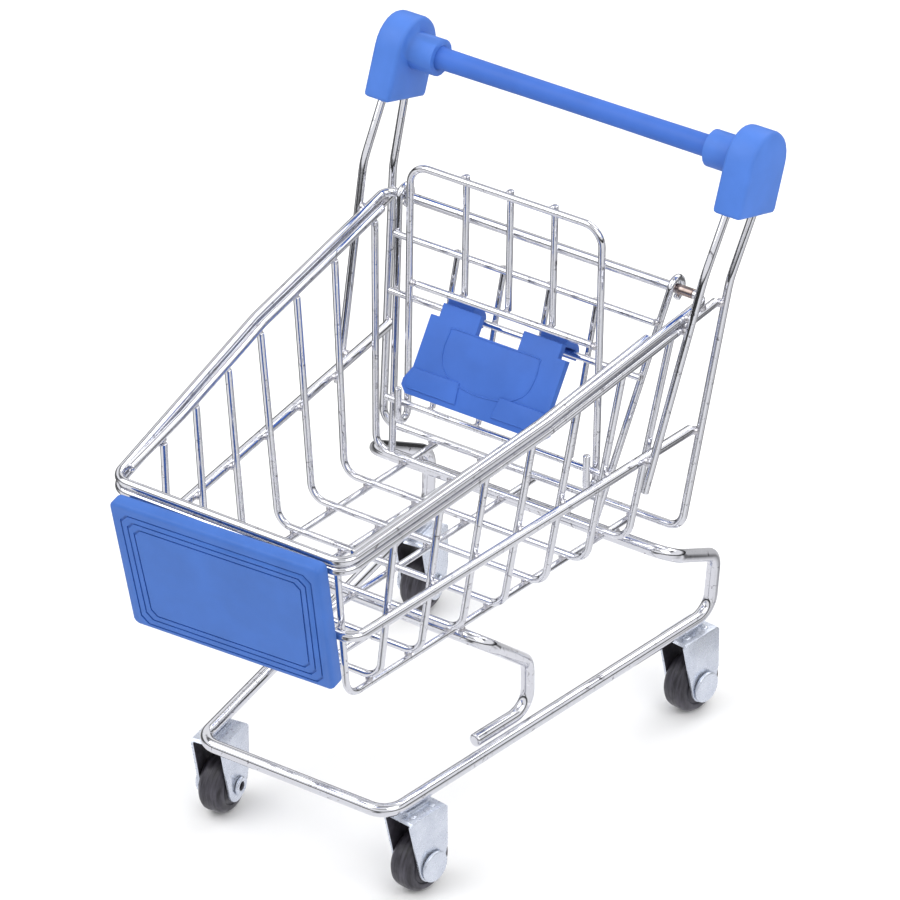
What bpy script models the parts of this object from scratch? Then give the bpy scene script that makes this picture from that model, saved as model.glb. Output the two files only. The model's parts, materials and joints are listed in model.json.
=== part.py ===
"""Rolling basket trolley: a desk-size wire shopping trolley with a tapering basket, a swinging
rear gate that carries a folding child seat, a two-post handle and four fixed castors.

Lengths below are in millimetres and become metres where an object is made. X is the trolley's
right, -Y its front and Z up; the floor is Z = 0."""

import math

import bmesh
import bpy
from mathutils import Matrix, Vector

MM = 0.001
GAP = 0.3

# Wire diameters
CHASSIS_D = 3.0
RIM_D = 2.0
MID_D = 2.3
RIB_D = 1.6
FLOOR_D = 1.5
POST_D = 1.8
ROD_D = 2.2
GATE_D = 1.6
BAR_D = 1.5
UPRIGHT_D = 1.3
BACKREST_D = 1.6

# Chassis: two splayed rails joined in front, each turned up and forward into a crossbar
RAIL_Z = 22.8
RAIL_FRONT = Vector((24.2, -43.1, RAIL_Z))
RAIL_REAR = Vector((37.0, 59.4, RAIL_Z))
LEG_TOP = Vector((37.4, 60.6, 36.9))
CROSSBAR_END = Vector((39.7, 39.8, 48.1))
CHASSIS_BEND = 5.0

# Front support: a crossbar under the floor whose ends turn down onto the rails
SUPPORT_CROSSBAR = Vector((30.9, -16.9, 53.3))
SUPPORT_LEG_TOP = Vector((27.1, 4.1, 36.3))
SUPPORT_LEG_FOOT = Vector((27.2, 4.0, 24.6))
SUPPORT_END = Vector((25.0, -12.8, 24.6))

# Castors
WHEEL_R = 6.8
WHEEL_W = 5.9
WHEEL_FRONT = Vector((25.4, -33.6, WHEEL_R))
WHEEL_REAR = Vector((35.4, 55.1, WHEEL_R))
BRACKET_W = 7.6
BRACKET_SHEET = 0.6
BRACKET_TOP_Z = 20.2
BRACKET_AHEAD = 6.8
BRACKET_BEHIND = 4.8
BRACKET_FOOT_R = 3.8
WELD_PAD = (2.0, 7.0, 1.0)
AXLE_D = 3.2
AXLE_HEAD_D = 7.2
AXLE_HEAD_T = 0.8
AXLE_RING_D = 4.3
AXLE_HOLE_D = 2.3
AXLE_HOLE_DEEP = 1.6
AXLE_RING_T = 0.7
AXLE_HEAD_EDGE = 0.3
AXLE_RING_EDGE = 0.2
BRACKET_CORNER = 0.8
BRACKET_TAPER_Y = 3.0
BRACKET_FOOT_ARC = math.radians(15)
WELD_PAD_Y = -1.0
WELD_PAD_SINK = 0.3
WHEEL_EDGE_R = 1.6
WHEEL_FLAT_R = 4.8

# Basket: seven ribs between the front wall and the gate
RIB_COUNT = 7
RIB_FRONT_Y = -48.7
RIB_REAR_Y = 33.5
RIB_HALF_FRONT = 26.4
RIB_HALF_REAR = 32.5
RIB_HALF_POWER = 1.4
FLOOR_Z_FRONT = 60.5
FLOOR_Z_REAR = 53.1
RIB_LEAN_FRONT = 2.4
RIB_LEAN_REAR = 8.2
RIB_LEAN_POWER = 3.5
RIB_BEND = 4.0
RIB_TO_RIM_X = 2.15
RIB_TO_RIM_Z = 2.1

RIM_FRONT = Vector((28.8, -63.6, 96.7))
RIM_KNEE = Vector((37.0, -3.5, 102.5))
RIM_REAR = Vector((41.1, 53.3, 107.1))
RIM_BEND = 4.0
UPPER_RIM_CORNER = Vector((40.8, 49.8, 107.0))
UPPER_RIM_TIP = Vector((37.6, 49.7, 107.3))
UPPER_RIM_BEND = 2.4
LOWER_RIM_DROP = 2.3
INNER_RIM_D = 1.8
INNER_RIM_IN = 2.05
INNER_RIM_DROP = 0.85
INNER_RIM_FRONT_Y = -58.8
INNER_RIM_REAR_Y = 45.0
INNER_RIM_BEND = 3.0

MID_FRONT = Vector((28.6, -60.5, 77.1))
MID_REAR = Vector((38.8, 48.0, 75.3))
MID_BEND = 3.5

# Lengthwise floor wires, turned up behind the front panel
LENGTHWISE_X = (-25.7, -12.9, 0.0, 12.9, 25.7)
LENGTHWISE_TAPER = 0.93
LENGTHWISE_REAR_Y = 46.4
LENGTHWISE_TOP_Z = 92.0
LENGTHWISE_BEND = 5.0
FRONT_WALL_Y = -56.6
FRONT_WALL_Z = 59.6
FRONT_WALL_LEAN = math.radians(5.0)
PANEL_LEAN = math.radians(9.6)

# Posts
LOOP_TOP = Vector((44.3, 61.6, 122.5))
LOOP_KINK = Vector((43.0, 55.5, 109.7))
LOOP_FOOT = Vector((38.7, 44.9, 52.2))
LOOP_BEND = 3.5
POST_TOP = Vector((43.6, 52.2, 126.3))
POST_KINK = Vector((43.3, 45.1, 115.5))
POST_FOOT = Vector((39.4, 29.3, 69.2))
KINK_BEND = 14.0
POST_INSERT = 4.0

# Gate: it hangs a little to the left on its rod
GATE_X = -1.2
ROD_Y = 49.7
ROD_Z = 107.3
ROD_HALF = 37.2
GATE_TILT = math.radians(16.1)
GATE_CURL_R = 2.3
GATE_CURL_TURN = math.radians(232)
GATE_CURL_STEPS = 10
GATE_TAIL = 0.9
GATE_SIDE_X = 34.6
GATE_FOOT_X = 26.1
GATE_FOOT_Z = 54.6
GATE_BARS = {"upper": (101.3, 33.3), "middle": (89.2, 32.2), "lower": (66.9, 29.0)}
UPRIGHT_X = (-17.8, -5.9, 5.9, 17.8)

# Backrest
BACKREST_HALF = 24.3
BACKREST_LEAN = math.radians(1.6)
BACKREST_H = 57.3
BACKREST_BEND = 4.5
BACKREST_BAR_H = 28.95
BACKREST_HOOK_R = 1.85
BACKREST_HOOK_DROP = 2.3
BACKREST_HOOK_TIP = 4.6
BACKREST_SLATS = (-11.2, 0.0, 11.2)
BACKREST_SLAT_OVER = 0.6

# Seat plate, measured from the middle gate bar
SEAT_LEAN = math.radians(35.0)
SEAT_FACE = 5.85
SEAT_T = 1.8
SEAT_HALF = 18.3
SEAT_ABOVE = 1.4
SEAT_TAB_H = 4.3
SEAT_BODY_H = 16.6
SEAT_FLARE = 1.4
SEAT_TAB_IN = 4.4
SEAT_TAB_OUT = 15.2
SEAT_HOOK_IN = 8.6
SEAT_HOOK_T = 1.4
SEAT_HOOK_WRAP = math.radians(120)
SEAT_STEP_IN = 1.0
SEAT_SHOULDER = 1.2
SEAT_FLARE_TOP = 6.0
SEAT_FLARE_FOOT = 3.0
SEAT_CHAMFER = 1.6

# Handle
HANDLE_Y = 61.3
HANDLE_Z = 135.9
HANDLE_TILT = math.radians(21.8)
CAP_PLACE = {"left": (40.4, 47.1), "right": (41.4, 48.4)}
CAP_R = 7.4
CAP_DROP_FRONT = 11.6
CAP_DROP_REAR = 10.6
CAP_EDGE = 0.9
COLLAR_R = 4.1
COLLAR_IN = 34.4
COLLAR_INTO_CAP = 1.5
BAR_END_R = 2.45
BAR_MID_R = 2.3
BAR_SOCKET = 3.0

# Front panel
PANEL_TOP_W = 51.6
PANEL_FOOT_W = 49.8
PANEL_TOP = Vector((0.2, -69.3, 96.2))
PANEL_H = 32.2
PANEL_T = 3.4
PANEL_YAW = math.radians(1.5)
PANEL_ROLL = math.radians(1.3)
PANEL_CORNER = 0.9
PANEL_BEVEL = 0.9
GROOVE_W = 0.35
GROOVE_DEPTH = 0.3
GROOVE_DROP = 1.2
GROOVE_INSETS = (2.3, 3.8, 5.2)
GROOVE_CORNERS = (1.7, 1.5, 1.4)

CHROME = ("chrome wire", (0.78, 0.78, 0.82, 1.0), 1.0, 0.12)
STEEL = ("plated sheet", (0.70, 0.72, 0.76, 1.0), 1.0, 0.28)
BLUE = ("blue plastic", (0.075, 0.21, 0.68, 1.0), 0.0, 0.42)
TYRE = ("dark wheel", (0.028, 0.026, 0.034, 1.0), 0.0, 0.55)


# Stands a flat outline up so that its height runs along X
SIDEWAYS = Matrix(((0, 0, 1, 0), (1, 0, 0, 0), (0, 1, 0, 0), (0, 0, 0, 1)))


def material(name, look):
    """A new material of this look, for one object."""
    made = bpy.data.materials.new(name)
    made.use_nodes = True
    shader = made.node_tree.nodes["Principled BSDF"]
    shader.inputs["Base Color"].default_value = look[1]
    shader.inputs["Metallic"].default_value = look[2]
    shader.inputs["Roughness"].default_value = look[3]
    return made


def collection(name):
    made = bpy.data.collections.new(name)
    bpy.context.scene.collection.children.link(made)
    return made


def lerp(start, end, share):
    return start + (end - start) * share


def mirrored(point):
    return Vector((-point.x, point.y, point.z))


def round_corners(corners, bends, closed=False):
    """The path through these corners, each turned through an arc of its bend radius."""
    count = len(corners)
    path = []
    for index, corner in enumerate(corners):
        if not closed and index in (0, count - 1):
            path.append(corner.copy())
            continue
        back = (corners[index - 1] - corner).normalized()
        ahead = (corners[(index + 1) % count] - corner).normalized()
        opening = back.angle(ahead)
        turn = math.pi - opening
        if turn < math.radians(2):
            path.append(corner.copy())
            continue
        radius = bends[index] if isinstance(bends, (list, tuple)) else bends
        centre = corner + (back + ahead).normalized() * (radius / math.sin(opening / 2))
        start = corner + back * (radius / math.tan(opening / 2)) - centre
        axis = back.cross(start).normalized()
        steps = max(2, round(turn / math.radians(22)))
        for step in range(steps + 1):
            path.append(centre + Matrix.Rotation(turn * step / steps, 3, axis) @ start)
    return path


def wire(name, points, diameter, look, parts, closed=False):
    """A round wire along the points, as a curve."""
    curve = bpy.data.curves.new(name, "CURVE")
    curve.dimensions = "3D"
    curve.bevel_depth = diameter / 2 * MM
    curve.bevel_resolution = 2
    curve.use_fill_caps = not closed
    spline = curve.splines.new("POLY")
    spline.points.add(len(points) - 1)
    for place, point in zip(spline.points, points):
        place.co = (*(point * MM), 1.0)
    spline.use_cyclic_u = closed
    spline.use_smooth = True
    curve.materials.append(material(name, look))
    made = bpy.data.objects.new(name, curve)
    parts.objects.link(made)
    return made


def set_origin(made, point):
    """Moves a curve or mesh object's origin to this point and leaves its shape in place."""
    origin = point * MM
    made.data.transform(Matrix.Translation(-origin))
    made.location = origin


def mesh_object(name, shape, look, group):
    """An object made from a bmesh that is in millimetres."""
    bmesh.ops.scale(shape, vec=(MM, MM, MM), verts=shape.verts)
    bmesh.ops.recalc_face_normals(shape, faces=shape.faces)
    mesh = bpy.data.meshes.new(name)
    shape.to_mesh(mesh)
    shape.free()
    made = bpy.data.objects.new(name, mesh)
    if look:
        mesh.materials.append(material(name, look))
        mesh.shade_smooth()
        mesh.set_sharp_from_angle(angle=math.radians(35))
    else:
        made.hide_render = True
        made.display_type = "WIRE"
    group.objects.link(made)
    return made


def prism(outline, low, high, place):
    """A bmesh of the flat outline between two heights, moved by a matrix."""
    shape = bmesh.new()
    base = shape.faces.new([shape.verts.new((x, y, low)) for x, y in outline])
    moved = bmesh.ops.extrude_face_region(shape, geom=[base])["geom"]
    raised = [item for item in moved if isinstance(item, bmesh.types.BMVert)]
    bmesh.ops.translate(shape, vec=(0, 0, high - low), verts=raised)
    bmesh.ops.transform(shape, matrix=place, verts=shape.verts)
    return shape


def box(size, centre):
    shape = bmesh.new()
    bmesh.ops.create_cube(shape, size=1.0)
    bmesh.ops.scale(shape, vec=size, verts=shape.verts)
    bmesh.ops.translate(shape, vec=centre, verts=shape.verts)
    return shape


def cylinder(radius, start, end, sides=16):
    """A bmesh of the round bar from one point to another."""
    shape = bmesh.new()
    along = end - start
    bmesh.ops.create_cone(
        shape, cap_ends=True, segments=sides, radius1=radius, radius2=radius, depth=along.length
    )
    turn = Vector((0, 0, 1)).rotation_difference(along).to_matrix().to_4x4()
    place = Matrix.Translation((start + end) / 2) @ turn
    bmesh.ops.transform(shape, matrix=place, verts=shape.verts)
    return shape


def combine(made, other, operation):
    """Adds or takes away another object with a Boolean modifier."""
    modifier = made.modifiers.new(other.name, "BOOLEAN")
    modifier.operation = operation
    modifier.object = other


def turned(name, profile, steps, look, group):
    """A shape turned about Z: the profile (radius, height) runs down its outer side."""
    mesh = bpy.data.meshes.new(name)
    points = [(radius * MM, 0.0, height * MM) for radius, height in profile]
    mesh.from_pydata(points, [(i, i + 1) for i in range(len(points) - 1)], [])
    made = bpy.data.objects.new(name, mesh)
    mesh.materials.append(material(name, look))
    screw = made.modifiers.new("turn", "SCREW")
    screw.axis = "Z"
    screw.steps = steps
    screw.render_steps = steps
    screw.use_merge_vertices = True
    screw.merge_threshold = 0.00001
    screw.use_smooth_shade = True
    group.objects.link(made)
    return made


def arc(centre, radius, start, end, steps):
    """Points on an arc, angles in radians, both ends included."""
    angles = [lerp(start, end, step / steps) for step in range(steps + 1)]
    return [(centre[0] + radius * math.cos(a), centre[1] + radius * math.sin(a)) for a in angles]


# Basket lines


def rim_point(y):
    """The centre of the upper rim's right side at this Y."""
    start, end = (RIM_FRONT, RIM_KNEE) if y < RIM_KNEE.y else (RIM_KNEE, RIM_REAR)
    return lerp(start, end, (y - start.y) / (end.y - start.y))


def floor_z(y):
    """The height of the ribs' floor runs at this Y."""
    return lerp(FLOOR_Z_FRONT, FLOOR_Z_REAR, (y - RIB_FRONT_Y) / (RIB_REAR_Y - RIB_FRONT_Y))


def both_sides(half):
    """The path that runs along the left side and back along the right one."""
    return [mirrored(point) for point in reversed(half)] + half


def chassis(parts):
    right = [RAIL_FRONT, RAIL_REAR, LEG_TOP, CROSSBAR_END]
    corners = right + [mirrored(point) for point in reversed(right)]
    path = round_corners(corners, CHASSIS_BEND, closed=True)
    wire("chassis_frame", path, CHASSIS_D, CHROME, parts, closed=True)
    half = [SUPPORT_CROSSBAR, SUPPORT_LEG_TOP, SUPPORT_LEG_FOOT, SUPPORT_END]
    path = round_corners(both_sides(half), CHASSIS_BEND)
    wire("front_support", path, CHASSIS_D, CHROME, parts)


def basket(parts):
    for index in range(RIB_COUNT):
        share = index / (RIB_COUNT - 1)
        y = lerp(RIB_FRONT_Y, RIB_REAR_Y, share)
        top_y = y + lerp(RIB_LEAN_FRONT, RIB_LEAN_REAR, share**RIB_LEAN_POWER)
        rim = rim_point(top_y)
        top = Vector((rim.x - RIB_TO_RIM_X, top_y, rim.z - RIB_TO_RIM_Z))
        half = lerp(RIB_HALF_FRONT, RIB_HALF_REAR, share**RIB_HALF_POWER)
        foot = Vector((half, y, floor_z(y)))
        path = round_corners(both_sides([foot, top]), RIB_BEND)
        wire(f"rib_{index + 1}", path, RIB_D, CHROME, parts)
    half = [RIM_FRONT, RIM_KNEE, UPPER_RIM_CORNER, UPPER_RIM_TIP]
    bends = [UPPER_RIM_BEND, UPPER_RIM_BEND, RIM_BEND, RIM_BEND]
    path = round_corners(both_sides(half), bends + bends[::-1])
    wire("rim_upper", path, RIM_D, CHROME, parts)
    drop = Vector((0.0, 0.0, -LOWER_RIM_DROP))
    half = [RIM_FRONT + drop, RIM_KNEE + drop, RIM_REAR + drop]
    wire("rim_lower", round_corners(both_sides(half), RIM_BEND), RIM_D, CHROME, parts)
    inward = Vector((-INNER_RIM_IN, 0.0, -INNER_RIM_DROP))
    half = [rim_point(INNER_RIM_FRONT_Y) + inward, RIM_KNEE + inward]
    half.append(rim_point(INNER_RIM_REAR_Y) + inward)
    right = round_corners(half, INNER_RIM_BEND)
    wire("rim_inner_right", right, INNER_RIM_D, CHROME, parts)
    left = [mirrored(point) for point in right]
    wire("rim_inner_left", left, INNER_RIM_D, CHROME, parts)
    path = round_corners(both_sides([MID_FRONT, MID_REAR]), MID_BEND)
    wire("mid_wire", path, MID_D, CHROME, parts)
    under = (RIB_D + FLOOR_D) / 2 + GAP
    for index, x in enumerate(LENGTHWISE_X):
        front_x = x * LENGTHWISE_TAPER
        rise = LENGTHWISE_TOP_Z - FRONT_WALL_Z
        corners = [
            Vector((x, LENGTHWISE_REAR_Y, floor_z(LENGTHWISE_REAR_Y) - under)),
            Vector((front_x, FRONT_WALL_Y, floor_z(FRONT_WALL_Y) - under)),
            Vector((front_x, FRONT_WALL_Y - rise * math.tan(FRONT_WALL_LEAN), LENGTHWISE_TOP_Z)),
        ]
        path = round_corners(corners, LENGTHWISE_BEND)
        wire(f"floor_wire_{index + 1}", path, FLOOR_D, CHROME, parts)


def into_cap(top, kink):
    """The end of a post inside its cap."""
    return top + (top - kink).normalized() * POST_INSERT


def posts(parts):
    half = [LOOP_FOOT, LOOP_KINK, into_cap(LOOP_TOP, LOOP_KINK)]
    bends = [KINK_BEND, KINK_BEND, LOOP_BEND, LOOP_BEND, KINK_BEND, KINK_BEND]
    wire("rear_loop", round_corners(both_sides(half), bends), POST_D, CHROME, parts)
    right = round_corners([POST_FOOT, POST_KINK, into_cap(POST_TOP, POST_KINK)], KINK_BEND)
    wire("front_post_right", right, POST_D, CHROME, parts)
    wire("front_post_left", [mirrored(point) for point in right], POST_D, CHROME, parts)


# Gate. Its plane leans back by GATE_TILT and passes in front of the rod.

GATE_UP = Vector((0.0, math.sin(GATE_TILT), math.cos(GATE_TILT)))
GATE_AHEAD = Vector((0.0, -math.cos(GATE_TILT), math.sin(GATE_TILT)))
ROD = Vector((0.0, ROD_Y, ROD_Z))
BAR_AHEAD = GATE_CURL_R + (GATE_D + BAR_D) / 2 + GAP
UPRIGHT_AHEAD = BAR_AHEAD - (BAR_D + UPRIGHT_D) / 2 - GAP


def on_gate(z, ahead):
    """The gate's centre line at this height, this far in front of the rod's plane."""
    start = ROD + GATE_AHEAD * ahead
    return start + GATE_UP * ((z - start.z) / GATE_UP.z)


def gate(parts):
    half = Vector((ROD_HALF, 0.0, 0.0))
    wire("hinge_rod", [ROD - half, ROD + half], ROD_D, CHROME, parts)
    for side, word in ((-1, "left"), (1, "right")):
        foot = on_gate(GATE_FOOT_Z, GATE_CURL_R)
        foot.x = GATE_X + side * GATE_FOOT_X
        path = [foot]
        for step in range(GATE_CURL_STEPS + 1):
            turn = Matrix.Rotation(-GATE_CURL_TURN * step / GATE_CURL_STEPS, 3, "X")
            path.append(ROD + turn @ (GATE_AHEAD * GATE_CURL_R))
        path.append(path[-1] + (path[-1] - path[-2]).normalized() * GATE_TAIL)
        for point in path[1:]:
            point.x = GATE_X + side * GATE_SIDE_X
        made = wire(f"gate_side_{word}", path, GATE_D, CHROME, parts)
        set_origin(made, ROD)
    for word, (z, half) in GATE_BARS.items():
        centre = on_gate(z, BAR_AHEAD)
        ends = [centre + Vector((GATE_X + side * half, 0.0, 0.0)) for side in (-1, 1)]
        set_origin(wire(f"gate_bar_{word}", ends, BAR_D, CHROME, parts), ROD)
    for index, x in enumerate(UPRIGHT_X):
        shift = Vector((GATE_X + x, 0.0, 0.0))
        ends = [on_gate(GATE_BARS[word][0], UPRIGHT_AHEAD) + shift for word in ("lower", "upper")]
        made = wire(f"gate_upright_{index + 1}", ends, UPRIGHT_D, CHROME, parts)
        set_origin(made, ROD)


BACKREST_PIVOT = on_gate(GATE_BARS["lower"][0], BAR_AHEAD) + Vector((GATE_X, 0.0, 0.0))
BACKREST_UP = Vector((0.0, math.sin(BACKREST_LEAN), math.cos(BACKREST_LEAN)))
BACKREST_BACK = Vector((0.0, math.cos(BACKREST_LEAN), -math.sin(BACKREST_LEAN)))


def backrest_side():
    """The frame's right side: a hook under the lower gate bar, from its tip to the rear leg."""
    centre = BACKREST_PIVOT - BACKREST_UP * BACKREST_HOOK_DROP
    path = [BACKREST_PIVOT - BACKREST_BACK * BACKREST_HOOK_R + BACKREST_UP * BACKREST_HOOK_TIP]
    steps = 8
    for step in range(steps + 1):
        turn = Matrix.Rotation(math.pi * step / steps, 3, "X")
        path.append(centre - turn @ (BACKREST_BACK * BACKREST_HOOK_R))
    for point in path:
        point.x += BACKREST_HALF
    return path


def backrest(parts):
    hook = backrest_side()
    across = Vector((2 * BACKREST_HALF, 0.0, 0.0))
    top = BACKREST_PIVOT + BACKREST_UP * BACKREST_H + BACKREST_BACK * BACKREST_HOOK_R
    top.x += BACKREST_HALF
    corners = [hook[-1] - across, top - across, top, hook[-1]]
    upper = round_corners(corners, BACKREST_BEND)
    path = [point - across for point in hook[:-1]] + upper + hook[:-1][::-1]
    made = wire("backrest_frame", path, BACKREST_D, CHROME, parts)
    set_origin(made, BACKREST_PIVOT)
    centre = BACKREST_PIVOT + BACKREST_UP * BACKREST_BAR_H + BACKREST_BACK * BACKREST_HOOK_R
    half = BACKREST_HALF - BACKREST_D - GAP
    ends = [centre + Vector((side * half, 0.0, 0.0)) for side in (-1, 1)]
    set_origin(wire("backrest_bar", ends, BACKREST_D, CHROME, parts), BACKREST_PIVOT)
    behind = BACKREST_BACK * ((BACKREST_D + BAR_D) / 2 + GAP)
    rise = BACKREST_H - BACKREST_BAR_H + BACKREST_SLAT_OVER
    for index, x in enumerate(BACKREST_SLATS):
        shift = behind + Vector((x, 0.0, 0.0))
        ends = [centre + shift, centre + BACKREST_UP * rise + shift]
        made = wire(f"backrest_slat_{index + 1}", ends, BAR_D, CHROME, parts)
        set_origin(made, BACKREST_PIVOT)


# Seat plate, drawn in its own plane: x across, y up the face from the middle gate bar.


def seat_outline():
    top = SEAT_ABOVE
    tab_foot = top - SEAT_TAB_H
    foot = tab_foot - SEAT_BODY_H
    half = SEAT_HALF - SEAT_STEP_IN
    flared = half + SEAT_FLARE
    right = [
        (SEAT_TAB_IN + SEAT_STEP_IN, tab_foot),
        (SEAT_TAB_IN + SEAT_STEP_IN, top),
        (SEAT_TAB_OUT, top),
        (SEAT_TAB_OUT, tab_foot + SEAT_SHOULDER),
        (half, tab_foot + SEAT_SHOULDER),
        (half, foot + SEAT_FLARE_TOP),
        (flared, foot + SEAT_FLARE_FOOT),
        (flared, foot + SEAT_CHAMFER),
        (flared - SEAT_CHAMFER, foot),
    ]
    return right + [(-x, y) for x, y in reversed(right)]


def seat(parts, cutters):
    pivot = on_gate(GATE_BARS["middle"][0], BAR_AHEAD) + Vector((GATE_X, 0.0, 0.0))
    up = Vector((0.0, math.sin(SEAT_LEAN), math.cos(SEAT_LEAN)))
    face = Vector((0.0, -math.cos(SEAT_LEAN), math.sin(SEAT_LEAN)))
    turn = Matrix((Vector((1, 0, 0)), up, face)).transposed().to_4x4()
    place = Matrix.Translation(pivot) @ turn
    back = SEAT_FACE - SEAT_T
    made = mesh_object("seat_plate", prism(seat_outline(), back, SEAT_FACE, place), BLUE, parts)
    inner = BAR_D / 2 + GAP
    outer = inner + SEAT_HOOK_T
    into_plate = back + 0.2
    clip = [(outer, into_plate), (outer, 0.0)]
    clip += arc((0.0, 0.0), outer, 0.0, -SEAT_HOOK_WRAP, 8)[1:]
    clip += arc((0.0, 0.0), inner, -SEAT_HOOK_WRAP, 0.0, 8)
    clip += [(inner, into_plate)]
    for side in (-1, 1):
        shape = prism(clip, 0.0, SEAT_TAB_OUT - SEAT_HOOK_IN, Matrix())
        low = SEAT_HOOK_IN if side > 0 else -SEAT_TAB_OUT
        at = place @ Matrix.Translation((low, 0.0, 0.0)) @ SIDEWAYS
        bmesh.ops.transform(shape, matrix=at, verts=shape.verts)
        hook = mesh_object(f"seat_hook_{side}", shape, None, cutters)
        combine(made, hook, "UNION")
    set_origin(made, pivot)


# Handle


def handle(parts, cutters):
    axis = Vector((0.0, HANDLE_Y, HANDLE_Z))
    up = Vector((0.0, math.sin(HANDLE_TILT), math.cos(HANDLE_TILT)))
    rear = Vector((0.0, math.cos(HANDLE_TILT), -math.sin(HANDLE_TILT)))
    for side, word in ((-1, "left"), (1, "right")):
        name = f"handle_cap_{word}"
        turn = Matrix((rear, up, rear.cross(up))).transposed().to_4x4()
        place = Matrix.Translation(axis) @ turn
        outline = arc((0.0, 0.0), CAP_R, 0.0, math.pi, 14)
        outline += [(-CAP_R, -CAP_DROP_FRONT), (CAP_R, -CAP_DROP_REAR)]
        inward = rear.cross(up).x
        near, far = CAP_PLACE[word]
        low, high = sorted((side * inward * near, side * inward * far))
        made = mesh_object(name, prism(outline, low, high, place), BLUE, parts)
        rounding = made.modifiers.new("rounding", "BEVEL")
        rounding.width = CAP_EDGE * MM
        rounding.segments = 2
        rounding.limit_method = "ANGLE"
        ends = [axis + Vector((side * x, 0.0, 0.0)) for x in (COLLAR_IN, near + COLLAR_INTO_CAP)]
        collar = mesh_object(f"{name}_collar", cylinder(COLLAR_R, *ends, 20), None, cutters)
        combine(made, collar, "UNION")
        ends = [axis + Vector((side * x, 0.0, 0.0)) for x in (COLLAR_IN - 1, COLLAR_IN + BAR_SOCKET)]
        socket = cylinder(BAR_END_R + GAP, *ends, 20)
        combine(made, mesh_object(f"{name}_socket", socket, None, cutters), "DIFFERENCE")
        for top, kink, which in ((LOOP_TOP, LOOP_KINK, "rear"), (POST_TOP, POST_KINK, "front")):
            along = (top - kink).normalized()
            ends = [top - along * POST_INSERT, top + along * (POST_INSERT + GAP)]
            if side < 0:
                ends = [mirrored(end) for end in ends]
            bore = cylinder(POST_D / 2 + GAP, *ends, 12)
            combine(made, mesh_object(f"{name}_{which}", bore, None, cutters), "DIFFERENCE")
    steps = 6
    half = COLLAR_IN + BAR_SOCKET - GAP
    profile = [(0.0, half)]
    for step in range(steps + 1):
        share = 1 - 2 * step / steps
        profile.append((lerp(BAR_MID_R, BAR_END_R, min(1.0, abs(share) * 1.1) ** 2), half * share))
    profile.append((0.0, -half))
    made = turned("handle_bar", profile, 16, BLUE, parts)
    made.location = axis * MM
    made.rotation_euler = (0.0, math.pi / 2, 0.0)


# Front panel, drawn in its own plane: x across, y up the face.


def panel_outline(inset, corner, drop=0.0):
    """The panel's outline moved inwards, with cut corners and a lowered foot."""
    top = PANEL_TOP_W / 2 - inset
    foot = PANEL_FOOT_W / 2 - inset
    high = -inset
    low = inset - PANEL_H - drop
    right = [(foot - corner, low), (foot, low + corner), (top, high - corner), (top - corner, high)]
    return right + [(-x, y) for x, y in reversed(right)]


def panel_place():
    up = Vector((0.0, -math.sin(PANEL_LEAN), math.cos(PANEL_LEAN)))
    face = Vector((0.0, -math.cos(PANEL_LEAN), -math.sin(PANEL_LEAN)))
    turn = Matrix((Vector((1, 0, 0)), up, face)).transposed().to_4x4()
    hang = Matrix.Rotation(PANEL_YAW, 4, "Z") @ turn @ Matrix.Rotation(PANEL_ROLL, 4, "Z")
    return Matrix.Translation(PANEL_TOP) @ hang


def groove(inset, corner):
    """A closed ring of the groove's width along the outline at this inset."""
    shape = prism(panel_outline(inset, corner, GROOVE_DROP), -GROOVE_DEPTH, 1.0, Matrix())
    inner = panel_outline(inset + GROOVE_W, corner, GROOVE_DROP)
    return shape, prism(inner, -1.0, 2.0, Matrix())


def panel(parts, cutters):
    place = panel_place()
    outline = panel_outline(0.0, PANEL_CORNER)
    made = mesh_object("front_panel", prism(outline, -PANEL_T, 0.0, place), BLUE, parts)
    edge = made.modifiers.new("edge", "BEVEL")
    edge.width = PANEL_BEVEL * MM
    edge.segments = 2
    edge.limit_method = "ANGLE"
    for index, inset in enumerate(GROOVE_INSETS):
        shape, core = groove(inset, GROOVE_CORNERS[index])
        for part in (shape, core):
            bmesh.ops.transform(part, matrix=place, verts=part.verts)
        ring = mesh_object(f"groove_{index + 1}", shape, None, cutters)
        middle = mesh_object(f"groove_core_{index + 1}", core, None, cutters)
        combine(ring, middle, "DIFFERENCE")
        combine(made, ring, "DIFFERENCE")


# Castors


def toe():
    """The angle by which a right-hand rail turns outwards towards the rear."""
    along = RAIL_REAR - RAIL_FRONT
    return math.atan2(along.x, along.y)


def bracket_outline():
    """The side plate seen from the trolley's right: x runs rearwards, y up from the axle."""
    top = BRACKET_TOP_Z - WHEEL_R
    cut = BRACKET_CORNER
    foot = arc((0.0, 0.0), BRACKET_FOOT_R, -BRACKET_FOOT_ARC, BRACKET_FOOT_ARC - math.pi, 8)
    rear = [(BRACKET_BEHIND - cut, top), (BRACKET_BEHIND, top - cut)]
    rear += [(BRACKET_BEHIND, BRACKET_TAPER_Y)]
    return rear + foot + [(-BRACKET_AHEAD, top - cut), (cut - BRACKET_AHEAD, top)]


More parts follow.
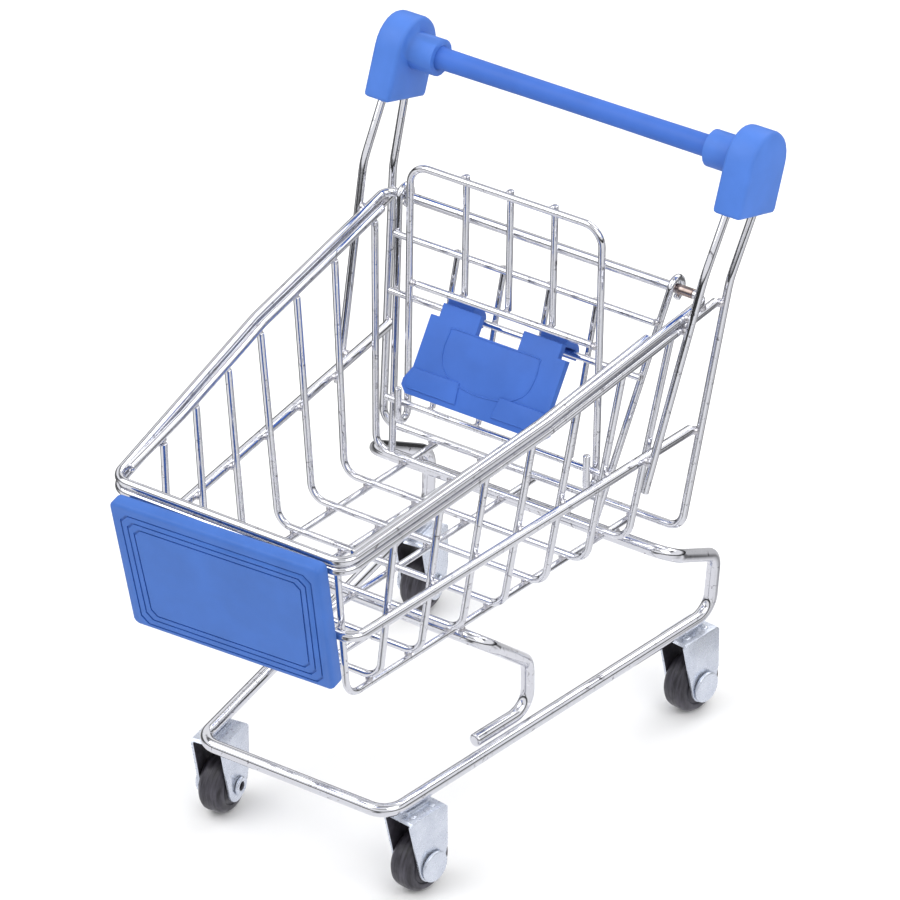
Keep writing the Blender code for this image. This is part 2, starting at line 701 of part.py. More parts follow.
def castor(name, wheel, side, parts, cutters):
    place = Matrix.Translation((side * wheel.x, wheel.y, wheel.z))
    place = place @ Matrix.Rotation(-side * toe(), 4, "Z")
    shape = prism(bracket_outline(), -BRACKET_W / 2, BRACKET_W / 2, place @ SIDEWAYS)
    fork = mesh_object(f"{name}_bracket", shape, STEEL, parts)
    top = BRACKET_TOP_Z - WHEEL_R
    pad = box(WELD_PAD, (0, WELD_PAD_Y, top + WELD_PAD[2] / 2 - WELD_PAD_SINK))
    bmesh.ops.transform(pad, matrix=place, verts=pad.verts)
    combine(fork, mesh_object(f"{name}_pad", pad, None, cutters), "UNION")
    past = 10.0
    height = top - BRACKET_SHEET + past
    inside = (BRACKET_W - 2 * BRACKET_SHEET, BRACKET_AHEAD + BRACKET_BEHIND + past, height)
    hollow = box(inside, (0, 0, height / 2 - past))
    bmesh.ops.transform(hollow, matrix=place, verts=hollow.verts)
    combine(fork, mesh_object(f"{name}_hollow", hollow, None, cutters), "DIFFERENCE")
    across = Vector((BRACKET_W, 0, 0))
    hole = cylinder(AXLE_D / 2 + GAP, -across, across, 16)
    bmesh.ops.transform(hole, matrix=place, verts=hole.verts)
    combine(fork, mesh_object(f"{name}_hole", hole, None, cutters), "DIFFERENCE")
    axle_turn = Matrix.Rotation(math.pi / 2, 4, "Y")
    half = WHEEL_W / 2
    bore = AXLE_D / 2 + GAP
    edge = WHEEL_EDGE_R
    profile = [(bore, half), (WHEEL_FLAT_R, half)]
    profile += arc((WHEEL_R - edge, half - edge), edge, math.pi / 2, 0.0, 4)[1:]
    profile += [(WHEEL_R, 0.0)]
    profile += arc((WHEEL_R - edge, edge - half), edge, 0.0, -math.pi / 2, 4)[:-1]
    profile += [(WHEEL_FLAT_R, -half), (bore, -half), (bore, half)]
    made = turned(f"{name}_wheel", profile, 24, TYRE, parts)
    made.matrix_world = scaled(place) @ axle_turn
    axle = turned(f"{name}_axle", axle_profile(), 16, STEEL, parts)
    outward = axle_turn if side > 0 else Matrix.Rotation(math.pi, 4, "Z") @ axle_turn
    axle.matrix_world = scaled(place) @ outward


def axle_profile():
    """The rivet: a flat head outside, a shank, and a rolled hollow end inside."""
    face = BRACKET_W / 2 + GAP
    shank = AXLE_D / 2
    end = -face - AXLE_RING_T
    return [
        (0.0, face + AXLE_HEAD_T),
        (AXLE_HEAD_D / 2 - AXLE_HEAD_EDGE, face + AXLE_HEAD_T),
        (AXLE_HEAD_D / 2, face + AXLE_HEAD_T - AXLE_HEAD_EDGE),
        (AXLE_HEAD_D / 2, face),
        (shank, face),
        (shank, -face),
        (AXLE_RING_D / 2, -face),
        (AXLE_RING_D / 2 - AXLE_RING_EDGE, end),
        (AXLE_HOLE_D / 2, end),
        (AXLE_HOLE_D / 2, end + AXLE_HOLE_DEEP),
        (0.0, end + AXLE_HOLE_DEEP),
    ]


def scaled(place):
    """The same placement with its shift in metres."""
    made = place.copy()
    made.translation = place.translation * MM
    return made


def castors(parts, cutters):
    for end, wheel in (("front", WHEEL_FRONT), ("rear", WHEEL_REAR)):
        for side, word in ((-1, "left"), (1, "right")):
            castor(f"castor_{end}_{word}", wheel, side, parts, cutters)


def main():
    for old in list(bpy.data.objects):
        bpy.data.objects.remove(old, do_unlink=True)
    parts = collection("rolling_basket_trolley")
    cutters = collection("cutters")
    chassis(parts)
    basket(parts)
    posts(parts)
    gate(parts)
    backrest(parts)
    seat(parts, cutters)
    handle(parts, cutters)
    panel(parts, cutters)
    castors(parts, cutters)


main()
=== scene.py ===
"""The rolling basket trolley's looks: chromed wires with weld beads, moulded blue plastic, bent
steel brackets and dark wheels, on a pale floor under soft studio light."""

import json
import math

import bmesh
import bpy
import numpy as np
from mathutils import Matrix, Vector

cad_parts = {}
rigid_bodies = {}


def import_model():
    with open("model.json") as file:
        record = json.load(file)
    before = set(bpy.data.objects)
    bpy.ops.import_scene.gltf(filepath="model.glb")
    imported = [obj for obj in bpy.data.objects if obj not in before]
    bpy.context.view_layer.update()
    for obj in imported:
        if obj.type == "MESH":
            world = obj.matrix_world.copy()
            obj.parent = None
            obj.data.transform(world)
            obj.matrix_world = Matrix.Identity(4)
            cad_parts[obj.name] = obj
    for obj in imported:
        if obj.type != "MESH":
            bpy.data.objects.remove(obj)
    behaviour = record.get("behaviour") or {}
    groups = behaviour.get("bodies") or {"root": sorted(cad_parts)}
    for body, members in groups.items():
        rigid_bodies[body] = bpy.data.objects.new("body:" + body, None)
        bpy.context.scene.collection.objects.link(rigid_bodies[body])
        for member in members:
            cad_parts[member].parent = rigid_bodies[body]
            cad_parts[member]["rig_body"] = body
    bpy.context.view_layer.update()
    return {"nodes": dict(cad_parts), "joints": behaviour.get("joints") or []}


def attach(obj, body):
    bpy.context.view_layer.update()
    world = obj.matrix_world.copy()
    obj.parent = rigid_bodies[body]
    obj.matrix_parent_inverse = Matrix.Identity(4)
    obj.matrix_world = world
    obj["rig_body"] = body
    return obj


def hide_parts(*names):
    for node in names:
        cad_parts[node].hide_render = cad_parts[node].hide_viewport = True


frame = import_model()
NODES = frame["nodes"]
JOINTS = {joint["child"]: joint for joint in frame["joints"]}
MM = 0.001
TINY = 1e-30
SAME_PLACE = 2e-6

# Reading the CAD's wires: eight-sided tubes with flat ends
CAD_SIDES = 8
FLAT_COS = 0.9995
RING_UNEVEN = 0.02
RING_ALONG = 0.45
LONG_RATIO = 2.2
BEND_STEP = math.radians(7.0)

# Drawing a wire
TUBE_SIDES = 20
END_ROUNDING = 0.35
END_SHARES = (0.0, 0.5, 0.85)
SIDE_HINT = (0.3, 0.5, 0.81)
NO_TURN = 1e-9
ROD_MEET = 0.9

# Edges sharper than this stay sharp, degrees
PIECE_SHARP = 35.0
WIRE_SHARP = 50.0
FINE_SHARP = 60.0
PAD_SHARP = 30.0

# Softening a corner of a profile takes at most this share of its shorter side
ROUND_SHARE = 0.45

# Weld beads where two wires cross, mm
SAMPLE_STEP = 0.4
WELD_REACH = 0.75
WELD_SPACING = 4.0
WELD_PARALLEL = 0.9
BEAD_ROWS = 7
BEAD_COLUMNS = 12
BEAD_LONG = 1.12
BEAD_WIDE = 1.08
BEAD_SINK = 0.1

PLASTIC_NODES = ("front_panel", "seat_plate", "handle_cap_left", "handle_cap_right", "handle_bar")


# Reading the CAD


def node_points(name):
    """The CAD node's vertices in millimetres and its triangles, with touching vertices merged."""
    mesh = NODES[name].data
    mesh.calc_loop_triangles()
    points = np.empty(len(mesh.vertices) * 3)
    mesh.vertices.foreach_get("co", points)
    faces = np.empty(len(mesh.loop_triangles) * 3, np.int64)
    mesh.loop_triangles.foreach_get("vertices", faces)
    points = np.round(points.reshape(-1, 3) / MM, 3)
    merged, index = np.unique(points, axis=0, return_inverse=True)
    faces = index.reshape(-1)[faces.reshape(-1, 3)]
    a, b, c = faces.T
    return merged, faces[(a != b) & (b != c) & (a != c)]


def neighbours(count, faces):
    near = [set() for _ in range(count)]
    for a, b, c in faces.tolist():
        near[a] |= {b, c}
        near[b] |= {a, c}
        near[c] |= {a, b}
    return near


def flat_groups(points, faces):
    """Sets of triangles that lie in one plane and touch along edges."""
    first = points[faces[:, 0]]
    normals = np.cross(points[faces[:, 1]] - first, points[faces[:, 2]] - first)
    normals /= np.linalg.norm(normals, axis=1)[:, None] + TINY
    edges = {}
    for index, (a, b, c) in enumerate(faces.tolist()):
        for u, v in ((a, b), (b, c), (c, a)):
            edges.setdefault((min(u, v), max(u, v)), []).append(index)
    parent = list(range(len(faces)))

    def root(index):
        while parent[index] != index:
            index = parent[index]
        return index

    for pair in edges.values():
        if len(pair) == 2 and normals[pair[0]] @ normals[pair[1]] > FLAT_COS:
            parent[root(pair[0])] = root(pair[1])
    groups = {}
    for index in range(len(faces)):
        groups.setdefault(root(index), []).append(index)
    return list(groups.values())


def flat_faces(name):
    """Each flat face of the CAD node: its area, its outward direction and its corners."""
    points, faces = node_points(name)
    found = []
    for group in flat_groups(points, faces):
        corners = points[faces[group]]
        cross = np.cross(corners[:, 1] - corners[:, 0], corners[:, 2] - corners[:, 0])
        area = np.linalg.norm(cross, axis=1).sum() / 2
        found.append((area, unit(cross.sum(0)), corners))
    return found


def end_ring(points, faces):
    """The vertices of a flat round end, or None on a closed wire."""
    for group in flat_groups(points, faces):
        if len(group) != CAD_SIDES - 2:
            continue
        ring = sorted(set(faces[group].ravel().tolist()))
        if len(ring) != CAD_SIDES:
            continue
        reach = np.linalg.norm(points[ring] - points[ring].mean(0), axis=1)
        if reach.std() < RING_UNEVEN * reach.mean():
            return ring
    return None


def first_ring(points, near):
    """A ring to start a closed wire from, and its direction: at one end of the longest edge."""
    best, ends = 0.0, (0, 0)
    for a in range(len(points)):
        for b in near[a]:
            length = np.linalg.norm(points[a] - points[b])
            if length > best:
                best, ends = length, (a, b)
    along = (points[ends[1]] - points[ends[0]]) / best
    ring = [ends[0]]
    while len(ring) < CAD_SIDES:
        steps = []
        for other in near[ring[-1]]:
            step = points[other] - points[ring[-1]]
            length = np.linalg.norm(step)
            if other not in ring and abs(step @ along) < RING_ALONG * length:
                steps.append((length, other))
        if not steps:
            break
        ring.append(min(steps)[1])
    return ring, along


def centreline(name):
    """The wire's ring centres, its radius, and whether it closes on itself."""
    points, faces = node_points(name)
    near = neighbours(len(points), faces)
    ring = end_ring(points, faces)
    closed = ring is None
    along = None
    if closed:
        ring, along = first_ring(points, near)
    rings = [list(ring)]
    seen = set(ring)
    ahead = {w for v in ring for w in near[v] if w not in seen}
    if closed:
        centre = points[ring].mean(0)
        ahead = {w for w in ahead if (points[w] - centre) @ along > 0}
    while ahead:
        rings.append(sorted(ahead))
        seen |= ahead
        ahead = {w for v in ahead for w in near[v] if w not in seen}
    centres = np.array([points[ring].mean(0) for ring in rings])
    radius = float(np.linalg.norm(points[rings[0]] - centres[0], axis=1).mean())
    return centres, radius, closed


def about_joint(name, joint):
    """The CAD node's heights along the joint's axis and its distances from it, mm."""
    points, _ = node_points(name)
    centre, axis = joint_line(joint)
    offset = points - centre
    height = offset @ axis
    return height, np.linalg.norm(offset - height[:, None] * axis, axis=1)


def joint_line(joint):
    """A point on the joint's axis, mm, and the axis's direction."""
    return np.array(joint["pos_m"], float) / MM, unit(np.array(joint["axis"], float))


# Paths


def unit(vector):
    return vector / (np.linalg.norm(vector) + TINY)


def angle_between(first, second):
    return math.acos(max(-1.0, min(1.0, float(first @ second))))


def path_tangents(path, steps, closed):
    """A direction at each point: along the straight where one meets a bend."""
    count = len(path)
    lengths = [np.linalg.norm(step) for step in steps]
    tangents = []
    for i in range(count):
        if not closed and i in (0, count - 1):
            tangents.append(unit(steps[0 if i == 0 else -1]))
            continue
        back, ahead = (i - 1) % count, i % count
        if lengths[back] > LONG_RATIO * lengths[ahead]:
            tangents.append(unit(steps[back]))
        elif lengths[ahead] > LONG_RATIO * lengths[back]:
            tangents.append(unit(steps[ahead]))
        else:
            tangents.append(unit(unit(steps[back]) + unit(steps[ahead])))
    return tangents


def smooth_path(path, closed):
    """The same route with finer steps round each bend and none along each straight."""
    count = len(path)
    spans = count if closed else count - 1
    steps = [path[(i + 1) % count] - path[i] for i in range(spans)]
    tangents = path_tangents(path, steps, closed)
    made = []
    for i in range(spans):
        start, end = path[i], path[(i + 1) % count]
        out, into = tangents[i], tangents[(i + 1) % count]
        length = np.linalg.norm(steps[i])
        turn = max(angle_between(out, into), angle_between(out, unit(end - start)))
        parts = max(1, round(turn / BEND_STEP))
        for part in range(parts):
            t = part / parts
            a = 2 * t**3 - 3 * t**2 + 1
            b = t**3 - 2 * t**2 + t
            c = 3 * t**2 - 2 * t**3
            d = t**3 - t**2
            made.append(a * start + b * length * out + c * end + d * length * into)
    if not closed:
        made.append(path[-1])
    return np.array(made)


def carried(side, before, after):
    """The side direction turned along with the path, from one direction to the next."""
    axis = np.cross(before, after)
    size = np.linalg.norm(axis)
    if size <= NO_TURN:
        return side
    angle = math.atan2(size, float(before @ after))
    return np.array(Matrix.Rotation(angle, 3, Vector(axis / size))) @ side


def tube_stations(path, radius, closed):
    """Each ring's centre, direction, side direction, radius and twist."""
    count = len(path)
    directions = []
    for i in range(count):
        back = path[i] - path[i - 1] if closed or i else path[1] - path[0]
        ahead = path[(i + 1) % count] - path[i] if closed or i < count - 1 else back
        directions.append(unit(unit(back) + unit(ahead)))
    side = unit(np.cross(directions[0], SIDE_HINT))
    sides = []
    for i in range(count):
        if i:
            side = carried(side, directions[i - 1], directions[i])
        side = unit(side - directions[i] * (side @ directions[i]))
        sides.append(side)
    twist = 0.0
    if closed:
        last = carried(side, directions[-1], directions[0])
        twist = math.atan2(float(np.cross(last, sides[0]) @ directions[0]), float(last @ sides[0]))
    return [(path[i], directions[i], sides[i], radius, twist * i / count) for i in range(count)]


def cut_end(station, inward):
    """The stations that round off a cut end, from its flat face inwards."""
    place, way, off, radius, _ = station
    cut = radius * END_ROUNDING
    made = []
    for share in END_SHARES:
        turn = math.pi / 2 * share
        inset, depth = cut * (1 - math.sin(turn)), cut * (1 - math.cos(turn))
        made.append((place + inward * way * depth, way, off, radius - inset, 0.0))
    made.append((place + inward * way * cut, way, off, radius, 0.0))
    return made


def tube(shape, path, radius, closed, sides=TUBE_SIDES):
    """Adds a round wire along the path to a bmesh, with rounded cut ends."""
    stations = tube_stations(path, radius, closed)
    if not closed:
        head, tail = cut_end(stations[0], 1), cut_end(stations[-1], -1)
        stations = head + stations[1:-1] + tail[::-1]
    rings = []
    for place, way, off, reach, turn in stations:
        other = np.cross(way, off)
        ring = []
        for k in range(sides):
            angle = 2 * math.pi * k / sides + turn
            offset = reach * (math.cos(angle) * off + math.sin(angle) * other)
            ring.append(shape.verts.new((place + offset) * MM))
        rings.append(ring)
    join_rings(shape, rings, closed)
    if not closed:
        shape.faces.new(list(reversed(rings[0])))
        shape.faces.new(rings[-1])


def join_rings(shape, rings, closed=False):
    """Adds the faces between each ring of vertices and the next."""
    for i in range(len(rings) if closed else len(rings) - 1):
        low, high = rings[i], rings[(i + 1) % len(rings)]
        for k in range(len(low)):
            n = (k + 1) % len(low)
            shape.faces.new((low[k], low[n], high[n], high[k]))


def closed_curve(corners, steps=8):
    """A smooth closed loop through the corners (x, y), as Catmull-Rom spans."""
    made = []
    count = len(corners)
    points = [np.array(corner, float) for corner in corners]
    for i in range(count):
        a, b, c, d = (points[(i + j - 1) % count] for j in range(4))
        for step in range(steps):
            t = step / steps
            square = (2 * a - 5 * b + 4 * c - d) * t**2
            cube = (3 * b - a - 3 * c + d) * t**3
            made.append(0.5 * (2 * b + (c - a) * t + square + cube))
    return made


def rounded(corners, radius, steps=4):
    """The corner list (x, y) with each inner corner rounded."""
    made = [corners[0]]
    for i in range(1, len(corners) - 1):
        before, here, after = (np.array(corners[j], float) for j in (i - 1, i, i + 1))
        back, ahead = before - here, after - here
        most = ROUND_SHARE * min(np.linalg.norm(back), np.linalg.norm(ahead))
        start = here + unit(back) * min(radius, most)
        end = here + unit(ahead) * min(radius, most)
        for step in range(steps + 1):
            t = step / steps
            made.append(tuple((1 - t) ** 2 * start + 2 * t * (1 - t) * here + t**2 * end))
    made.append(corners[-1])
    return made


# Weld beads


def bead(shape, centre, along, across, sizes):
    """Adds a weld bead: a small lens shape at a crossing."""
    normal = unit(np.cross(along, across))
    second = np.cross(normal, along)
    rings = []
    for i in range(1, BEAD_ROWS):
        lift = math.cos(math.pi * i / BEAD_ROWS)
        reach = math.sin(math.pi * i / BEAD_ROWS)
        ring = []
        for k in range(BEAD_COLUMNS):
            angle = 2 * math.pi * k / BEAD_COLUMNS
            offset = along * sizes[0] * reach * math.cos(angle)
            offset = offset + second * sizes[1] * reach * math.sin(angle)
            ring.append(shape.verts.new((centre + offset + normal * sizes[2] * lift) * MM))
        rings.append(ring)
    top = shape.verts.new((centre + normal * sizes[2]) * MM)
    foot = shape.verts.new((centre - normal * sizes[2]) * MM)
    for k in range(BEAD_COLUMNS):
        n = (k + 1) % BEAD_COLUMNS
        shape.faces.new((top, rings[0][k], rings[0][n]))
        shape.faces.new((foot, rings[-1][n], rings[-1][k]))
        for low, high in zip(rings, rings[1:]):
            shape.faces.new((low[k], high[k], high[n], low[n]))


def samples(path, closed):
    """Points every SAMPLE_STEP along the path, with the direction there."""
    places, ways = [], []
    count = len(path)
    for i in range(count if closed else count - 1):
        start, end = path[i], path[(i + 1) % count]
        length = np.linalg.norm(end - start)
        parts = max(1, round(length / SAMPLE_STEP))
        for part in range(parts):
            places.append(start + (end - start) * part / parts)
            ways.append((end - start) / (length + TINY))
    return np.array(places), np.array(ways)


def crossings(first, second):
    """Where two wires pass close enough to be welded: centre, both directions and the gap."""
    places_a, ways_a = first["samples"]
    places_b, ways_b = second["samples"]
    reach = first["radius"] + second["radius"] + WELD_REACH
    low = places_b.min(0) - reach
    high = places_b.max(0) + reach
    chosen = np.where(((places_a > low) & (places_a < high)).all(1))[0]
    if not len(chosen):
        return []
    gaps = np.linalg.norm(places_a[chosen, None] - places_b[None], axis=2)
    nearest = gaps.argmin(1)
    gaps = gaps.min(1)
    found = []
    for i in np.argsort(gaps):
        if gaps[i] > reach:
            break
        a, b = chosen[i], nearest[i]
        centre = (places_a[a] + places_b[b]) / 2
        if any(np.linalg.norm(centre - other[0]) < WELD_SPACING for other in found):
            continue
        if abs(float(ways_a[a] @ ways_b[b])) > WELD_PARALLEL:
            continue
        found.append((centre, ways_a[a], ways_b[b], gaps[i]))
    return found


def new_object(name, shape, look, body, replaced=(), sharp=PIECE_SHARP):
    """Turns the bmesh into a piece that rides the body; sharp is in degrees."""
    bmesh.ops.recalc_face_normals(shape, faces=shape.faces)
    mesh = bpy.data.meshes.new(name)
    shape.to_mesh(mesh)
    shape.free()
    mesh.materials.append(look)
    mesh.shade_smooth()
    mesh.set_sharp_from_angle(angle=math.radians(sharp))
    made = bpy.data.objects.new(name, mesh)
    bpy.context.scene.collection.objects.link(made)
    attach(made, body)
    if replaced:
        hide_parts(*replaced)
    return made


# Materials. Noises are given as scale, detail, roughness, distortion and stretch; bumps as
# strength and distance in metres.

NOISE_SPAN = (0.3, 0.7)

CHROME_CLOUDS = (260.0, 4.0, 0.6, 0.6)
CHROME_SPECKS = (620.0, 6.0, 0.7, 0.8)
CHROME_STOPS = (0.32, 0.41, 0.62, 0.70)
CHROME_TINT = (0.745, 0.75, 0.79)
CHROME_DARK = (0.22, 0.215, 0.235)
CHROME_BRIGHT = (0.92, 0.92, 0.95)
CHROME_ROUGH = (0.025, 0.11)
CHROME_WAVES = (0.35, 0.00006)
CHROME_PITS = (0.25, 0.00001)
WELD_TINT = (0.62, 0.61, 0.64)
WELD_DARK = (0.10, 0.09, 0.09)
WELD_ROUGH = (0.15, 0.4)
STAIN_FROM = 0.0325
STAIN_TO = 0.0345
STAIN_STOPS = ((0.35, (0.16, 0.12, 0.11)), (0.65, (0.42, 0.34, 0.31)))

PLASTIC_CLOUDS = (90.0, 3.0)
PLASTIC_PEEL = (2400.0, 2.0)
PLASTIC_ROUGH = (0.42, 0.56)
PLASTIC_DARKER = 0.91
PLASTIC_LIGHTER = 1.07
PLASTIC_LIFT = 0.004
PLASTIC_SHEEN = 0.3
PLASTIC_RIPPLES = (0.12, 0.0002)
PLASTIC_BUMPS = (0.22, 0.00002)
CAP_TINT = (0.064, 0.182, 0.60)
BAR_TINT = (0.044, 0.143, 0.54)
PANEL_TINT = (0.046, 0.145, 0.49)
SEAT_TINT = (0.043, 0.138, 0.52)

STEEL_GRAINS = (1500.0, 2.0, 0.5)
STEEL_CLOUDS = (180.0, 3.0)
STEEL_DARKER = (0.58, 0.62, 0.71)
STEEL_LIGHTER = (0.72, 0.76, 0.84)
STEEL_METALLIC = 0.75
STEEL_ROUGH = (0.22, 0.40)
STEEL_BUMPS = (0.35, 0.00001)

WHEEL_DUST = (700.0, 4.0, 0.6)
WHEEL_STREAKS = (520.0, 3.0, 0.6, 0.4, (3.0, 0.35, 0.35))
WHEEL_STOPS = ((0.35, (0.012, 0.011, 0.016)), (0.68, (0.062, 0.058, 0.076)))
WHEEL_ROUGH = (0.35, 0.6)
WHEEL_BUMPS = (0.8, 0.00012)


class Nodes:
    """A small helper for a material's node tree."""

    def __init__(self, name):
        self.material = bpy.data.materials.new(name)
        self.material.use_nodes = True
        self.tree = self.material.node_tree
        self.shader = self.tree.nodes["Principled BSDF"]

    def add(self, kind, **values):
        node = self.tree.nodes.new(kind)
        for key, value in values.items():
            setattr(node, key, value)
        return node

    def link(self, source, target):
        self.tree.links.new(source, target)

    def set(self, socket, value):
        """A number is set on the shader's socket, and anything else is linked to it."""
        if isinstance(value, float):
            self.shader.inputs[socket].default_value = value
        else:
            self.link(value, self.shader.inputs[socket])

    def place(self):
        return self.add("ShaderNodeTexCoord").outputs["Object"]

    def noise(self, scale, detail=3.0, roughness=0.55, distortion=0.0, stretch=(1, 1, 1)):
        mapping = self.add("ShaderNodeMapping")
        mapping.inputs["Scale"].default_value = stretch
        noise = self.add("ShaderNodeTexNoise")
        noise.inputs["Scale"].default_value = scale
        noise.inputs["Detail"].default_value = detail
        noise.inputs["Roughness"].default_value = roughness
        noise.inputs["Distortion"].default_value = distortion
        self.link(self.place(), mapping.inputs["Vector"])
        self.link(mapping.outputs["Vector"], noise.inputs["Vector"])
        return noise.outputs["Fac"]

    def ramp(self, source, stops):
        ramp = self.add("ShaderNodeValToRGB")
        elements = ramp.color_ramp.elements
        while len(elements) < len(stops):
            elements.new(0.5)
        for element, (place, colour) in zip(elements, stops):
            element.position = place
            element.color = (*colour, 1.0)
        self.link(source, ramp.inputs["Fac"])
        return ramp.outputs["Color"]

    def range(self, source, start, end, low=0.0, high=1.0):
        """The source's start to end spread over low to high."""
        spread = self.add("ShaderNodeMapRange")
        spread.inputs["From Min"].default_value = start
        spread.inputs["From Max"].default_value = end
        spread.inputs["To Min"].default_value = low
        spread.inputs["To Max"].default_value = high
        self.link(source, spread.inputs["Value"])
        return spread.outputs["Result"]

    def spread(self, noise, low, high):
        return self.range(noise, *NOISE_SPAN, low, high)

    def blend(self, share, first, second):
        """The first colour where share is 0 and the second where it is 1."""
        both = self.add("ShaderNodeMix", data_type="RGBA")
        self.link(share, both.inputs[0])
        for socket, colour in ((both.inputs[6], first), (both.inputs[7], second)):
            if isinstance(colour, tuple):
                socket.default_value = (*colour, 1.0)
            else:
                self.link(colour, socket)
        return both.outputs[2]

    def bump(self, source, strength, distance, below=None):
        bump = self.add("ShaderNodeBump")
        bump.inputs["Strength"].default_value = strength
        bump.inputs["Distance"].default_value = distance
        self.link(source, bump.inputs["Height"])
        if below is not None:
            self.link(below, bump.inputs["Normal"])
        return bump.outputs["Normal"]


def chrome(name, tint=CHROME_TINT, dark=CHROME_DARK, rough=CHROME_ROUGH, stain=False):
    """Plated wire: bright, a little cloudy, with dark specks where the plating is thin.

    A stained one is brown towards its right end.
    """
    made = Nodes(name)
    clouds = made.noise(*CHROME_CLOUDS)
    specks = made.noise(*CHROME_SPECKS)
    colour = made.ramp(specks, list(zip(CHROME_STOPS, (dark, tint, tint, CHROME_BRIGHT))))
    if stain:
        split = made.add("ShaderNodeSeparateXYZ")
        made.link(made.place(), split.inputs["Vector"])
        share = made.range(split.outputs["X"], STAIN_FROM, STAIN_TO)
        colour = made.blend(share, colour, made.ramp(clouds, STAIN_STOPS))
    made.set("Base Color", colour)
    made.set("Roughness", made.spread(clouds, *rough))
    made.set("Metallic", 1.0)
    wavy = made.bump(clouds, *CHROME_WAVES)
    made.set("Normal", made.bump(specks, *CHROME_PITS, wavy))
    return made.material


def plastic(name, tint):
    """Moulded plastic: slightly cloudy colour and a faint orange-peel surface."""
    made = Nodes(name)
    clouds = made.noise(*PLASTIC_CLOUDS)
    peel = made.noise(*PLASTIC_PEEL)
    low, high = NOISE_SPAN
    darker = tuple(PLASTIC_DARKER * c for c in tint)
    lighter = tuple(min(1.0, PLASTIC_LIGHTER * c + PLASTIC_LIFT) for c in tint)
    made.set("Base Color", made.ramp(clouds, [(low, darker), (high, lighter)]))
    made.set("Roughness", made.spread(clouds, *PLASTIC_ROUGH))
    made.set("Specular IOR Level", PLASTIC_SHEEN)
    ripples = made.bump(clouds, *PLASTIC_RIPPLES)
    made.set("Normal", made.bump(peel, *PLASTIC_BUMPS, ripples))
    return made.material


def steel_sheet(name):
    """Satin zinc-plated sheet with fine crystalline speckle."""
    made = Nodes(name)
    grains = made.noise(*STEEL_GRAINS)
    clouds = made.noise(*STEEL_CLOUDS)
    low, high = NOISE_SPAN
    made.set("Base Color", made.ramp(clouds, [(low, STEEL_DARKER), (high, STEEL_LIGHTER)]))
    made.set("Metallic", STEEL_METALLIC)
    made.set("Roughness", made.spread(grains, *STEEL_ROUGH))
    made.set("Normal", made.bump(grains, *STEEL_BUMPS))
    return made.material


def wheel_plastic(name):
    """Near-black moulded plastic with fine mould marks and dust."""
    made = Nodes(name)
    dust = made.noise(*WHEEL_DUST)
    streaks = made.noise(*WHEEL_STREAKS)
    made.set("Base Color", made.ramp(streaks, WHEEL_STOPS))
    made.set("Roughness", made.spread(dust, *WHEEL_ROUGH))
    made.set("Normal", made.bump(streaks, *WHEEL_BUMPS))
    return made.material


CHROME = chrome("chrome_wire")
STAINED = chrome("chrome_rod", stain=True)
WELD = chrome("chrome_weld", WELD_TINT, WELD_DARK, WELD_ROUGH)
STEEL = steel_sheet("steel_sheet")
# Near-black wheel plastic used as painted shade inside the brackets and in the rivets' hollow ends
PAINTED_SHADE = wheel_plastic("bracket_painted_shade")
BLUE = plastic("blue_plastic", CAP_TINT)
BAR_BLUE = plastic("blue_bar", BAR_TINT)
PANEL_BLUE = plastic("blue_panel", PANEL_TINT)
SEAT_BLUE = plastic("blue_seat", SEAT_TINT)
TYRE = wheel_plastic("wheel_plastic")


# Wires


def is_wire(name):
    return not name.startswith("castor") and name not in PLASTIC_NODES


def read_wire(name):
    path, radius, closed = centreline(name)
    path = smooth_path(path, closed)
    if name == "hinge_rod":
        path[0] += unit(path[0] - path[-1]) * ROD_MEET
        path[-1] += unit(path[-1] - path[0]) * ROD_MEET
    wire = {"path": path, "radius": radius, "closed": closed, "body": NODES[name]["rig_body"]}
    wire["samples"] = samples(path, closed)
    return wire


def build_wires():
    """Each wire as one piece, and the beads along it as another."""
    wires = {name: read_wire(name) for name in sorted(NODES) if is_wire(name)}
    names = sorted(wires)
    for i, first in enumerate(names):
        beads = []
        wire = wires[first]
        for second in names[i + 1 :]:
            if wire["body"] == wires[second]["body"]:
                thin = min(wire["radius"], wires[second]["radius"])
                beads += [(crossing, thin) for crossing in crossings(wire, wires[second])]
        shape = bmesh.new()
        tube(shape, wire["path"], wire["radius"], wire["closed"])
        look = STAINED if first == "hinge_rod" else CHROME
        new_object(f"{first}_wire", shape, look, wire["body"], [first], WIRE_SHARP)
        if not beads:
            continue
        shape = bmesh.new()
        for (centre, along, across, gap), thin in beads:
            sizes = (BEAD_LONG * thin, BEAD_WIDE * thin, gap / 2 - BEAD_SINK * thin)
            bead(shape, centre, along, across, sizes)
        new_object(f"{first}_welds", shape, WELD, wire["body"], (), FINE_SHARP)


# Castors, mm

ON_AXIS = 1e-6
LATHE_HINT = (0.1, 0.3, 0.9)
WHEEL_STEPS = 64
WHEEL_SOFT = 0.25
# Out from the bore, in from the side
WHEEL_HUB = ((0.0, 0.5), (1.0, 0.5), (1.1, 0.0))
# In from the tread, in from the side
WHEEL_CHEEK = (
    (3.2, 0.0),
    (3.0, 0.35),
    (2.3, 0.35),
    (2.1, 0.0),
    (1.0, 0.1),
    (0.15, 1.0),
    (0.02, 1.8),
)
# In from the tread, off the wheel's middle
WHEEL_SEAM = ((0.02, 0.12), (0.0, 0.06), (0.0, -0.06))

RIVET_STEPS = 48
RIVET_SOFT = 0.12
RIVET_DISH = 0.06
RIVET_DISH_EDGE = 0.05
RIVET_DISH_SHARE = 0.42
# In from the head's radius, down from its top
RIVET_HEAD = ((0.45, 0.0), (0.12, 0.12), (0.0, 0.4), (0.05, 0.8))
RIVET_SHANK_R = 1.6
